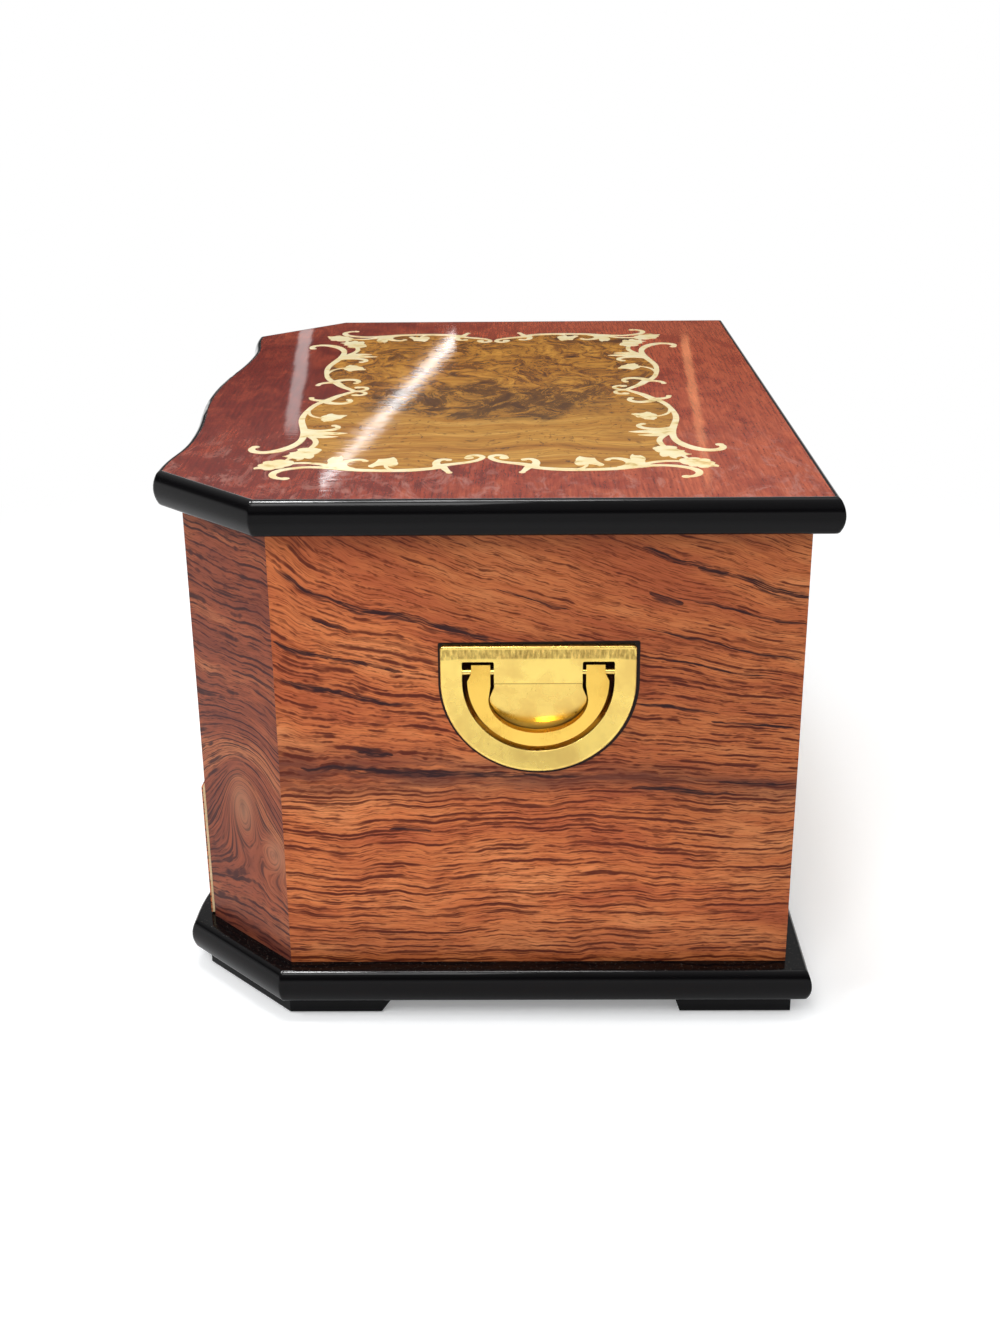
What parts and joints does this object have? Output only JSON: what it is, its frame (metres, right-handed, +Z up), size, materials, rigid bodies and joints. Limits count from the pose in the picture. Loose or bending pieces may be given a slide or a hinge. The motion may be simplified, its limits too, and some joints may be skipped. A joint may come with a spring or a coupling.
{
  "type": "jewelry chest",
  "caption": "Veneered jewelry chest with a hinged inlaid lid over a lined compartment, drawers behind a serpentine front, cut corners and flush side handles.",
  "frame": {"origin": "on the floor under the middle of the chest's bounding box", "axes": "+X to the chest's right side as seen in the picture's near side, -Y out of the front with the drawers, +Z up"},
  "size_m": [0.3938, 0.2782, 0.2357],
  "materials": {
    "black_lacquer": "gloss black lacquer",
    "red_veneer": "high gloss red mahogany veneer",
    "burl_veneer": "high gloss olive burl veneer",
    "pale_inlay": "high gloss maple inlay",
    "rosewood_veneer": "gloss rosewood veneer",
    "core_wood": "satin hardwood",
    "brass": "polished",
    "brass_screws": "polished",
    "steel_screws": "satin",
    "velvet": "velvet pile",
    "felt": "felt",
    "mirror_glass": "silvered glass"
  },
  "bodies": {
    "case": {"base_board": "black_lacquer", "foot_front_right": "black_lacquer", "foot_front_left": "black_lacquer", "foot_back_right": "black_lacquer", "foot_back_left": "black_lacquer", "felt_pads": "felt", "corner_post_right": "core_wood", "corner_post_left": "core_wood", "side_panel_right": "core_wood", "side_panel_left": "core_wood", "side_veneers": "rosewood_veneer", "post_veneers": "rosewood_veneer", "back_panel": "core_wood", "front_panel": "core_wood", "front_panel_veneer": "rosewood_veneer", "middle_deck": "core_wood", "compartment_floor": "core_wood", "drawer_guides": "core_wood", "drawer_stops": "core_wood", "hinge_case_leaves": "brass", "hinge_pins": "brass", "hinge_case_screws": "brass_screws", "handle_plate_right": "brass", "handle_plate_left": "brass", "handle_pins": "brass", "handle_screws": "steel_screws", "compartment_lining": "velvet", "compartment_dividers": "velvet", "ring_rolls": "velvet"},
    "lid": {"lid_board": "black_lacquer", "lid_border_veneer": "red_veneer", "lid_burl_veneer": "burl_veneer", "lid_scroll_inlay": "pale_inlay", "lid_lining": "velvet", "lid_mirror": "mirror_glass", "mirror_frame": "brass", "hinge_lid_leaves": "brass", "hinge_lid_screws": "brass_screws"},
    "upper_drawer": {"upper_drawer_front": "core_wood", "upper_drawer_front_veneer": "rosewood_veneer", "upper_drawer_sides": "core_wood", "upper_drawer_back": "core_wood", "upper_drawer_bottom": "core_wood", "upper_drawer_lining": "velvet", "upper_drawer_dividers": "velvet", "upper_drawer_knobs": "brass", "upper_drawer_knob_screws": "steel_screws"},
    "lower_drawer": {"lower_drawer_front": "core_wood", "lower_drawer_front_veneer": "rosewood_veneer", "lower_drawer_sides": "core_wood", "lower_drawer_back": "core_wood", "lower_drawer_bottom": "core_wood", "lower_drawer_lining": "velvet", "lower_drawer_knobs": "brass", "lower_drawer_knob_screws": "steel_screws"},
    "right_bail": {"bail_right": "brass"},
    "left_bail": {"bail_left": "brass"}
  },
  "joints": [
    {"name": "lid_hinge", "type": "hinge", "parent": "case", "child": "lid", "pos_m": [0, 0.13135, 0.2206], "axis": [-1, 0, 0], "range_deg": [0, 105]},
    {"name": "upper_drawer_slide", "type": "slide", "parent": "case", "child": "upper_drawer", "axis": [0, -1, 0], "range_m": [0, 0.15]},
    {"name": "lower_drawer_slide", "type": "slide", "parent": "case", "child": "lower_drawer", "axis": [0, -1, 0], "range_m": [-0.003, 0.147]},
    {"name": "right_bail_hinge", "type": "hinge", "parent": "case", "child": "right_bail", "pos_m": [0.1851, 0.021, 0.1603], "axis": [0, -1, 0], "range_deg": [0, 90]},
    {"name": "left_bail_hinge", "type": "hinge", "parent": "case", "child": "left_bail", "pos_m": [-0.1851, 0.021, 0.1603], "axis": [0, 1, 0], "range_deg": [0, 90]}
  ]
}
